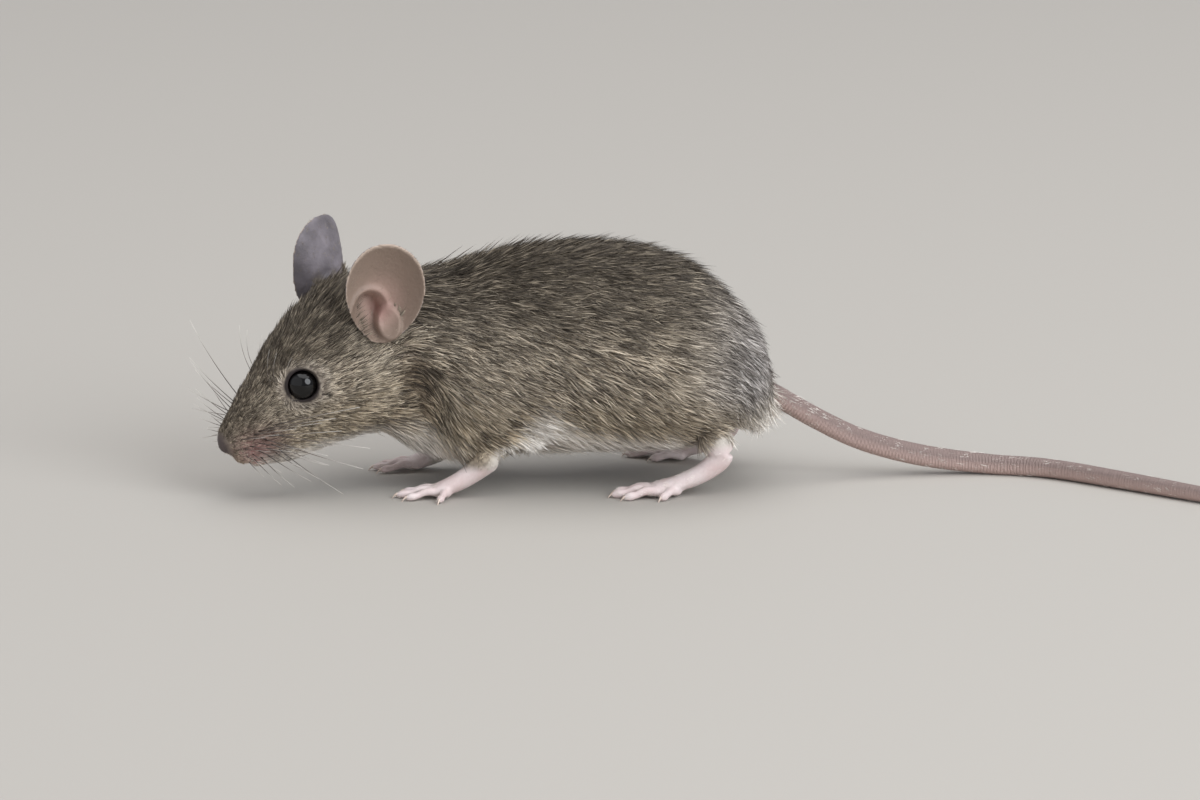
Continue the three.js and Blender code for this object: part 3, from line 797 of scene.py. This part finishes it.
# Mouse fur: fine dry hair with a soft silky shine along it and no wet gloss.
fur, tree, shader = new_material("agouti_fur", Roughness=0.6, IOR=1.45)
shader.inputs["Specular IOR Level"].default_value = 0.3
shade = hair_colour(tree, add(tree, "Attribute", {"attribute_name": "along"}).outputs["Fac"])
tree.links.new(shade, shader.inputs["Base Color"])

# Bare skin and the base of the coat: thin, pink where blood shows, taupe on ears and tail.
hide, tree, shader = new_material("mouse_skin", Roughness=0.55, IOR=1.42)
shader.inputs["Specular IOR Level"].default_value = 0.35
place = add(tree, "TexCoord").outputs["Object"]
grain = add(tree, "TexNoise", values={"Scale": 1 / (0.5 * MM), "Detail": 3.0}, links={"Vector": place}).outputs["Fac"]
blotch = add(tree, "TexNoise", values={"Scale": 1 / (2.5 * MM), "Detail": 4.0}, links={"Vector": place}).outputs["Fac"]
shade = hair_colour(tree, grain)
share = add(tree, "Attribute", {"attribute_name": "ear_share"}).outputs["Fac"]
leaf_inner = add(tree, "ValToRGB", links={"Fac": share}, stops=[
    (0.0, "#a07d75"), (1.0, "#cbb8a8"), (0.35, "#a38a7f"), (0.6, "#8a776b"), (0.93, "#7f6e62"),
]).outputs["Color"]
leaf_back = add(tree, "ValToRGB", links={"Fac": blotch}, stops=[(0.3, "#595457"), (0.75, "#7d767b")]).outputs["Color"]
leaf_tone = blend(tree, "ear_inner", leaf_back, leaf_inner)
shade = blend(tree, "ear", shade, leaf_tone)
foot_tone = add(tree, "ValToRGB", links={"Fac": blotch}, stops=[(0.3, "#cdb7b4"), (0.7, "#e0d3d1")]).outputs["Color"]
shade = blend(tree, "foot", shade, foot_tone)
on_top = add(tree, "Attribute", {"attribute_name": "tail_top"}).outputs["Fac"]
tail_tone = add(tree, "ValToRGB", links={"Fac": on_top}, stops=[(0.1, "#b39a93"), (0.8, "#7f6e69")]).outputs["Color"]
shade = blend(tree, "tail", shade, tail_tone)
shade = blend(tree, "flush", shade, "#9c726d")
shade = blend(tree, "lips", shade, "#c99b95")
shade = blend(tree, "nose", shade, "#544a49")
shade = blend(tree, "lid", shade, "#2e2726")
tree.links.new(shade, shader.inputs["Base Color"])
RING = 0.4  # mm from ring to ring of the tail
run = add(tree, "Attribute", {"attribute_name": "run"}).outputs["Fac"]
turns = add(tree, "Math", {"operation": "MULTIPLY"}, {1: 2 * math.pi / RING}, {0: run}).outputs[0]
wave = add(tree, "Math", {"operation": "SINE"}, None, {0: turns}).outputs[0]
on_tail = add(tree, "Attribute", {"attribute_name": "tail"}).outputs["Fac"]
rings = add(tree, "Math", {"operation": "MULTIPLY"}, None, {0: wave, 1: on_tail}).outputs[0]
relief = add(tree, "Math", {"operation": "MULTIPLY_ADD"}, {1: 0.5}, {0: rings, 2: grain}).outputs[0]
bump = add(tree, "Bump", None, {"Strength": 0.6, "Distance": 0.12 * MM}, {"Height": relief})
tree.links.new(bump.outputs["Normal"], shader.inputs["Normal"])
skin.data.materials.clear()
skin.data.materials.append(hide)

# The eye: a wet black bead, whose thin tear film mirrors the lamps.
bead, tree, shader = new_material("wet_eye", Roughness=0.04, IOR=1.42)
shader.inputs["Specular IOR Level"].default_value = 0.5
shader.inputs["Base Color"].default_value = colour("#050404")
for ball in eyes:
    ball.data.materials.append(bead)

# %% [markdown]
# ## The coat

# %% Where the hairs root
rng = np.random.default_rng(11)
skin.data.calc_loop_triangles()
corners = np.empty(len(skin.data.loop_triangles) * 3, np.int32)
skin.data.loop_triangles.foreach_get("vertices", corners)
corners = corners.reshape(-1, 3)
skin_mm, skin_normals = points_of(skin), normals_of(skin)
edges = skin_mm[corners]
areas = 0.5 * np.linalg.norm(np.cross(edges[:, 1] - edges[:, 0], edges[:, 2] - edges[:, 0]), axis=1)
middles = edges.mean(1)


def at_middles(name):
    return skin_zones[name][corners].mean(1)


bare = 1 - np.maximum.reduce([ease(0.15, 0.6, at_middles(k)) for k in ("foot", "tail", "ear", "lid")])
bare *= 1 - ease(0.35, 0.75, at_middles("nose"))
head_mm = head_place(middles)
density = 42 + 24 * ease(8, -22, middles[:, 0]) + 60 * at_middles("on_head") * ease(20, 8, head_mm[:, 0])
density += 25 * ease(4.2, 2.6, eye_far(middles)) + 25 * ease(15, 12, middles[:, 2]) * ease(-14, -18, middles[:, 0])
fuzz = 14 * at_middles("foot") + 9 * at_middles("ear") + 8 * at_middles("tail")
density *= 1 - at_middles("hidden")
density = density * bare + fuzz * (1 - bare) * (1 - at_middles("lid"))


def roots(count, density):
    chance = density * areas
    chosen = rng.choice(len(areas), count, p=chance / chance.sum())
    a, b = rng.random((2, count))
    flip = a + b > 1
    a, b = np.where(flip, 1 - a, a), np.where(flip, 1 - b, b)
    share = np.stack([1 - a - b, a, b], -1)
    corner = corners[chosen]
    normal = (skin_normals[corner] * share[:, :, None]).sum(1)
    here = {key: (values[corner] * share).sum(1) for key, values in skin_zones.items()}
    return (skin_mm[corner] * share[:, :, None]).sum(1), unit(normal), here


COUNT = 288000
root_mm, root_out, root_zones = roots(COUNT, density)
print("tufts per mm2 on the back:", round(42 * COUNT / (density * areas).sum(), 1))

# %% Which way they lie


def wander(mm, size, seed):
    """Smooth noise from -1 to 1, with swells about size millimetres long."""
    dice = np.random.default_rng(seed)
    total = 0
    for k in range(6):
        way = dice.normal(size=3)
        way *= 2 * math.pi / (size * dice.uniform(0.7, 1.6)) / np.linalg.norm(way)
        total = total + np.sin(mm @ way + dice.uniform(0, 2 * math.pi))
    return total / 6


shank = np.linspace([-7.0, -7.4, 10.0], [-16.3, -7.25, 2.6], 40)
SHANKS = np.vstack([shank, shank * [1, -1, 1] - [1.9, 0, 0]])


def lie(mm, out, zone):
    """The way the hair points at each root, in the skin's own plane."""
    back, side, up = head_place(mm).T
    x, y, z = mm.T
    droop = -0.15 - 0.55 * ease(2, -8, up) * ease(4, 14, back) - 0.5 * ease(-6, -11, up) * ease(12, 18, back)
    head_way = np.stack([-np.ones_like(back), 0 * back, droop], -1) @ HEAD_AXES.T
    rump = ease(8, 19, x)
    body_way = np.stack([1 - 0.35 * rump, 0 * x, -0.38 - 0.5 * rump - 0.45 * ease(-8, -20, x) * ease(18, 8, z)], -1)
    fore = ease(6.5, 3.5, z) * ease(-6, -10, x) * ease(-26, -22, x)
    hind = ease(7.5, 5.5, z) * ease(9, 12, x)
    shank_near = ease(3.4, 2.3, nearest(mm, SHANKS, 4)[1]) * ease(7.5, 5.5, z)
    fore = np.maximum(fore, shank_near * (1 - hind))
    body_way = body_way * (1 - fore - hind)[:, None] + fore[:, None] * [-0.6, 0, -0.8] + hind[:, None] * [0.5, 0, -0.85]
    way = head_way * zone["on_head"][:, None] + body_way * (1 - zone["on_head"])[:, None]
    down_tail = unit(np.gradient(tail_line, axis=0))[np.searchsorted(tail_run, zone["run"]).clip(0, len(tail_run) - 1)]
    way = way * (1 - zone["tail"])[:, None] + down_tail * zone["tail"][:, None]
    way = way * (1 - zone["foot"])[:, None] + zone["foot"][:, None] * [-1, 0, -0.35]
    for name in EARS:
        middle, across, along, facing = ear_axes(name)
        spread = unit(mm - middle + along * 5) * (np.linalg.norm(mm - middle, axis=1) < 9)[:, None]
        way = way + spread * (1.4 * np.maximum(zone["ear"], 1.6 * zone["ear_back"]))[:, None]
    for eye in EYES.values():
        away = unit(mm - eye)
        near = ease(5.0, 2.3, np.linalg.norm(mm - eye, axis=1))
        into = np.clip(-(unit(way) * away).sum(1), 0, 1)
        way = way + away * (near * into * 1.6)[:, None]
    way = unit(way - out * (way * out).sum(1)[:, None])
    across = np.cross(out, way)
    veer = 0.30 * wander(mm, 6, 1) + 0.22 * wander(mm, 2.2, 2) + 0.16 * rng.normal(size=len(mm))
    return unit(way * np.cos(veer)[:, None] + across * np.sin(veer)[:, None])


way = lie(root_mm, root_out, root_zones)

# %% Clumps
PER_CLUMP = 14
centres = root_mm[::PER_CLUMP]
clump_at, clump_far = nearest(root_mm, centres)
to_clump = centres[clump_at] - root_mm
lot = np.clip(0.75 * rng.random(len(centres))[clump_at] + 0.25 * rng.random(COUNT), 0, 1)

# %% How long and how wide they are
local = head_place(root_mm)
back = local[:, 0]
x, y, z = root_mm.T
on_head = root_zones["on_head"]
head_length = 0.55 + 0.65 * ease(1.5, 6, back) + 0.9 * ease(6, 14, back) + 1.0 * ease(13, 22, back)
body_length = 3.8 - 0.6 * ease(10, 5, z) - 1.9 * ease(14, 20, x)
fore = ease(5.5, 3.0, z) * ease(-7, -11, x)
hind = ease(9.5, 6.5, z) * ease(9.5, 12.5, x)
body_length = body_length * (1 - fore - hind) + 1.1 * fore + 0.5 * hind
body_length *= 1 - 0.45 * root_zones["fold"]
body_length += 1.3 * root_zones["pale"] * ease(11.8, 14.5, x) * ease(6.6, 8.0, z) - 0.9 * ease(11, 9, z) * ease(11, 13.5, x) * (1 - root_zones["pale"])
length = head_length * on_head + body_length * (1 - on_head)
length *= 0.55 + 0.45 * ease(2.2, 5, eye_far(root_mm))
throat = ease(-7, -11, local[:, 2]) * on_head * ease(12, 18, back) + ease(-10, -16, x) * ease(12, 6, z) * (1 - on_head)
leg_near = ease(4.0, 2.8, nearest(root_mm, SHANKS, 4)[1]) * ease(8.2, 6.0, z)
length = length * (1 - leg_near) + 0.95 * leg_near
length *= 1 - 0.4 * leg_near * ease(6.2, 4.8, z)
throat *= 1 - leg_near
bare_root = np.maximum.reduce([root_zones[k] for k in ("ear", "foot", "tail")]) > 0.5
fuzz_length = np.where(root_zones["ear"] > 0.5, 0.4, np.where(root_zones["foot"] > 0.5, 0.6, 0.85))
length *= 1 + 0.3 * throat
length *= 1 - 0.6 * ease(0.1, 0.6, np.maximum(root_zones["ear"], root_zones["foot"]))
ear_near = np.minimum(*(np.linalg.norm(ear_place(name, root_mm) - np.array([[0], [1.2], [-1.8]]), axis=0) for name in EARS))
length *= 1 - 0.55 * ease(5.4, 4.4, ear_near)
length = np.where(bare_root, fuzz_length, length)
length *= rng.uniform(0.65, 1.15, COUNT)
width = np.interp(length, [0.4, 2.0, 5.0], [0.06, 0.1, 0.135]) * rng.uniform(0.8, 1.2, COUNT)
width = np.where(bare_root, 0.03, width)
guard = (rng.random(COUNT) < 0.14 + 0.22 * root_zones["dusk"]).astype(float) * rng.uniform(0.5, 1, COUNT)
# Painted shade: where fold says, dark guard hairs and darker lots paint the shade of the neck crease into the coat, and
# darken a patch at the nape.
guard = np.where(rng.random(COUNT) < root_zones["fold"], 0.85, guard) * (1 - bare_root) + 0.8 * (root_zones["tail"] > 0.5)
lot = np.clip(lot + 0.25 * root_zones["pale"] - 0.5 * root_zones["fold"], 0, 1)
root_zones["pale"] = np.maximum(root_zones["pale"], (root_zones["foot"] > 0.5) * 1.0)
length *= 1 + 0.14 * guard
root_zones["warm"] = np.maximum(root_zones["warm"], 0.7 * leg_near)
lift = 14 + 4 * rng.normal(size=COUNT) + 7 * guard + 2 * root_zones["dusk"] + 10 * throat + 3 * on_head
nape = np.exp(-(((x + 17) / 5) ** 2 + ((z - 26) / 3) ** 2))
lift += 14 * (rng.random(COUNT) < 0.25) * nape
lift += 8 * (rng.random(COUNT) < 0.08) * ease(14, 24, z) + 5 * on_head * ease(2, 6, local[:, 2]) * ease(5, 9, back)
lift = np.radians(lift - 8 * np.maximum.reduce([fore, hind, leg_near]) + 6 * bare_root * (root_zones["tail"] < 0.5))

# %% Tufts from arrays
STEPS = np.array([0.0, 0.35, 0.7, 1.0])
WIDTHS = np.array([0.75, 1.0, 0.7])
TUFT_SHAPE = np.array([[0, 0], [1, 0], [0, 0.35], [1, 0.35], [0.1, 0.7], [0.9, 0.7], [0.5, 1]]) - 0.5
PATCH = 0.003


def tufts(name, chosen, unwrap):
    i, n = chosen, len(chosen)
    p, d, out, size = root_mm[i], way[i], root_out[i], length[i][:, None]
    roll = rng.uniform(-0.9, 0.9, n)[:, None]
    across = np.cross(d, out) * np.cos(roll) + out * np.sin(roll)
    rise, bend = np.sin(lift[i])[:, None], 0.11
    rows = [
        p - out * 0.08 + d * size * t + out * size * (rise * t - bend * t * t) + to_clump[i] * 0.55 * t**1.5
        for t in STEPS
    ]
    points = np.empty((n, 7, 3))
    for k in range(3):
        half = across * (width[i] * WIDTHS[k] / 2)[:, None]
        points[:, 2 * k], points[:, 2 * k + 1] = rows[k] - half, rows[k] + half
    points[:, 6] = rows[3]
    mesh = bpy.data.meshes.new(name)
    mesh.vertices.add(7 * n)
    mesh.vertices.foreach_set("co", to_row(points).astype(np.float32).ravel())
    loops = (np.array([0, 1, 3, 2, 2, 3, 5, 4, 4, 5, 6]) + 7 * np.arange(n)[:, None]).ravel()
    mesh.loops.add(len(loops))
    mesh.loops.foreach_set("vertex_index", loops.astype(np.int32))
    mesh.polygons.add(3 * n)
    starts = (np.array([0, 4, 8]) + 11 * np.arange(n)[:, None]).ravel()
    mesh.polygons.foreach_set("loop_start", starts.astype(np.int32))
    uv = (unwrap[:, None, :] + TUFT_SHAPE * PATCH).reshape(-1, 2)
    layer = mesh.uv_layers.new(name="OFBake")
    layer.data.foreach_set("uv", uv[loops].astype(np.float32).ravel())
    mesh.update(calc_edges=True)
    mesh.polygons.foreach_set("use_smooth", np.ones(3 * n, bool))
    piece = bpy.data.objects.new(name, mesh)
    bpy.context.collection.objects.link(piece)
    along = np.tile([0, 0, 0.35, 0.35, 0.7, 0.7, 1.0], n)
    each = {key: root_zones[key][i] for key in ("pale", "dusk", "grey", "warm", "flush")}
    each.update(guard=guard[i], lot=lot[i])
    mark(piece, along=along, **{key: np.repeat(v, 7) for key, v in each.items()})
    mesh.materials.append(fur)
    return piece


spine = np.where(on_head > 0.5, back - 45, x)
REGIONS = ["muzzle", "crown", "neck", "shoulders", "ribs", "loins", "haunches", "rump"]
order = np.argsort(spine)
coat = []
for k, name in enumerate(REGIONS):
    i = order[len(order) * k // len(REGIONS) : len(order) * (k + 1) // len(REGIONS)]
    u = (spine[i] - spine[i].min()) / np.ptp(spine[i])
    around = np.where(on_head[i] > 0.5, np.arctan2(local[i, 1], local[i, 2] + 2.5), np.arctan2(y[i], z[i] - 13))
    v = around / (2 * math.pi) + 0.5
    coat.append(tufts("coat_" + name, i, 0.01 + 0.98 * np.stack([u, v], -1)))
print("coat:", sum(len(c.data.polygons) for c in coat), "faces")

# %% [markdown]
# ## Whiskers and claws

# %% Threads from arrays
SIDES = 5


def threads(name, lines, radii, material):
    """Round tapered threads, one along each line of points."""
    lines = np.asarray(lines)
    n, rings, _ = lines.shape
    way_on = unit(np.gradient(lines, axis=1))
    one = unit(np.cross(way_on, [0.3, 0.2, 0.93]))
    two = np.cross(way_on, one)
    turn_by = 2 * math.pi * np.arange(SIDES) / SIDES
    ring = one[:, :, None] * np.cos(turn_by)[:, None] + two[:, :, None] * np.sin(turn_by)[:, None]
    points = (lines[:, :, None] + ring * radii[:, :, None, None]).reshape(n, -1, 3)
    faces = []
    for k in range(rings - 1):
        for j in range(SIDES):
            nxt = (j + 1) % SIDES
            faces.append([k * SIDES + j, k * SIDES + nxt, (k + 1) * SIDES + nxt, (k + 1) * SIDES + j])
    ends = [list(range(SIDES))[::-1], [(rings - 1) * SIDES + j for j in range(SIDES)]]
    all_faces = [[v + m * rings * SIDES for v in f] for m in range(n) for f in faces + ends]
    mesh = bpy.data.meshes.new(name)
    mesh.from_pydata(to_row(points.reshape(-1, 3)).tolist(), [], all_faces)
    mesh.polygons.foreach_set("use_smooth", np.ones(len(all_faces), bool))
    piece = bpy.data.objects.new(name, mesh)
    bpy.context.collection.objects.link(piece)
    mark(piece, along=np.tile(np.repeat(np.linspace(0, 1, rings), SIDES), n))
    mesh.materials.append(material)
    pick(piece)
    bpy.ops.object.mode_set(mode="EDIT")
    bpy.ops.mesh.select_all(action="SELECT")
    bpy.ops.mesh.normals_make_consistent(inside=False)
    bpy.ops.object.mode_set(mode="OBJECT")
    return piece


# Whisker: a stiff tapered hair, dark at the root and clear towards the tip.
bristle, tree, shader = new_material("whisker_hair", Roughness=0.4, IOR=1.5)
along = add(tree, "Attribute", {"attribute_name": "along"}).outputs["Fac"]
shade = add(tree, "ValToRGB", links={"Fac": along}, stops=[(0.0, "#2d2624"), (1.0, "#e8e2da"), (0.5, "#6f655e")])
tree.links.new(shade.outputs["Color"], shader.inputs["Base Color"])

# Claw: clear pale horn over a pink quick.
horn, tree, shader = new_material("claw_horn", Roughness=0.35, IOR=1.54)
shader.inputs["Base Color"].default_value = colour("#d9c6b8")

# %% Whiskers
RINGS = 9
dice = np.random.default_rng(5)
lines, radii = [], []
t = np.linspace(0, 1, RINGS)[:, None]
for side, sweep in ((1, 0), (-1, 1)):
    for row in range(4):
        for column in range(6):
            place = np.array([2.6 + 0.7 * column - 0.2 * row, side * (1.9 + 0.28 * column), -0.2 - 0.95 * row])
            at, far = nearest(head_point(place)[None], skin_mm)
            root = skin_mm[at[0]]
            long = (3.2 + (1.9 if sweep else 1.5) * column) * dice.uniform(0.8, 1.1) * (1.0 - 0.07 * row)
            if sweep:
                way_out = np.array([0.03 * column - 0.14 * row - 0.22, side * 0.8, 0.52 - 0.24 * row])
            else:
                way_out = np.array([0.6 + 0.05 * column - 0.15 * row, side * (0.85 - 0.12 * row), 0.05 - 0.34 * row])
            way_out = unit(way_out + 0.1 * dice.normal(size=3))
            fall = np.array([0.35, 0, -0.25]) * long * 0.3
            curve = (way_out * long * t + fall * t**2) * np.array([-1, 1, 1])
            lines.append(root + curve @ HEAD_AXES.T)
            radii.append((0.05 + 0.004 * column) * (1 - 0.75 * t[:, 0]))
for side in (1, -1):
    for k in range(3):
        root = skin_mm[nearest(head_point([8.6 + 0.8 * k, side * (2.6 + 0.2 * k), 3.4])[None], skin_mm)[0][0]]
        curve = (np.array([0.06, side * 0.25, 1.0]) * (5.6 - 1.3 * k) * t + np.array([1.6, 0, -0.3]) * t**2) * [-1, 1, 1]
        lines.append(root + curve @ HEAD_AXES.T)
        radii.append(0.035 * (1 - 0.7 * t[:, 0]))
whiskers = threads("whiskers", lines, np.array(radii), bristle)
print("whiskers:", len(lines))

# %% Claws
lines, radii = [], []
for root, tip in claw_lines:
    ahead = unit(tip[:3] - root[:3])
    start = tip[:3] + [0, 0, 0.1]
    t = np.linspace(0, 1, RINGS)[:, None]
    lines.append(start + ahead * (0.95 * t - 0.1) + [0, 0, 1] * (0.12 * np.sin(t * math.pi) - 0.42 * t**2))
    radii.append(np.interp(t[:, 0], [0, 0.4, 1], [0.2, 0.15, 0.03]))
claws = threads("claws", lines, np.array(radii), horn)

# %% [markdown]
# ## Floor, light and camera

# %% Floor
deselect()
bpy.ops.mesh.primitive_plane_add(size=6, location=(0, 0, 0))
floor = named("floor")
stone, tree, shader = new_material("plain_pale_floor", Roughness=0.7)
shader.inputs["Base Color"].default_value = colour("#aaa59e")
floor.data.materials.append(stone)

# %% Light


def lamp(name, place, size, power, colour=(1, 1, 1)):
    data = bpy.data.lights.new(name, "AREA")
    data.shape, data.size, data.energy, data.color = "DISK", size, power, colour
    light = bpy.data.objects.new(name, data)
    bpy.context.collection.objects.link(light)
    light.location = place
    light.rotation_mode = "QUATERNION"
    light.rotation_quaternion = (-Vector(place)).to_track_quat("-Z", "Y")
    return light


lamp("soft_top", (0.1, 0.05, 0.9), 1.3, 8.0)
lamp("soft_front", (0.62, -0.7, 0.54), 0.85, 10.5, (0.92, 0.96, 1.0))
lamp("soft_left", (-0.8, -0.6, 0.35), 2.0, 4.4)
world = bpy.data.worlds.new("studio")
bpy.context.scene.world = world
world.use_nodes = True
world.node_tree.nodes["Background"].inputs["Color"].default_value = (0.9, 0.93, 1.0, 1)
world.node_tree.nodes["Background"].inputs["Strength"].default_value = 0.42
bpy.context.scene.view_settings.view_transform = "Standard"

# %% Camera
CAMERA_TURN, CAMERA_RISE, CAMERA_FAR, CAMERA_LENS = -5.0, 13.0, 0.941, 240.0
camera = bpy.data.objects.new("camera", bpy.data.cameras.new("camera"))
bpy.context.collection.objects.link(camera)
camera.data.lens = CAMERA_LENS
aim = Vector(to_row([0, 0, 9.66]))
a, e = math.radians(CAMERA_TURN), math.radians(CAMERA_RISE)
way_back = Vector((math.sin(a) * math.cos(e), -math.cos(a) * math.cos(e), math.sin(e)))
camera.location = aim + way_back * CAMERA_FAR
camera.rotation_mode = "QUATERNION"
camera.rotation_quaternion = way_back.to_track_quat("Z", "Y")
bpy.context.scene.camera = camera

# %% Hand over
for name, ball in zip(EYES, eyes):
    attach(ball, "root")
    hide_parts("eye_" + name)
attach(skin, "root")
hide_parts(*[n for n in nodes if not n.startswith("eye")])
for piece in [*coat, whiskers, claws]:
    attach(piece, "root")
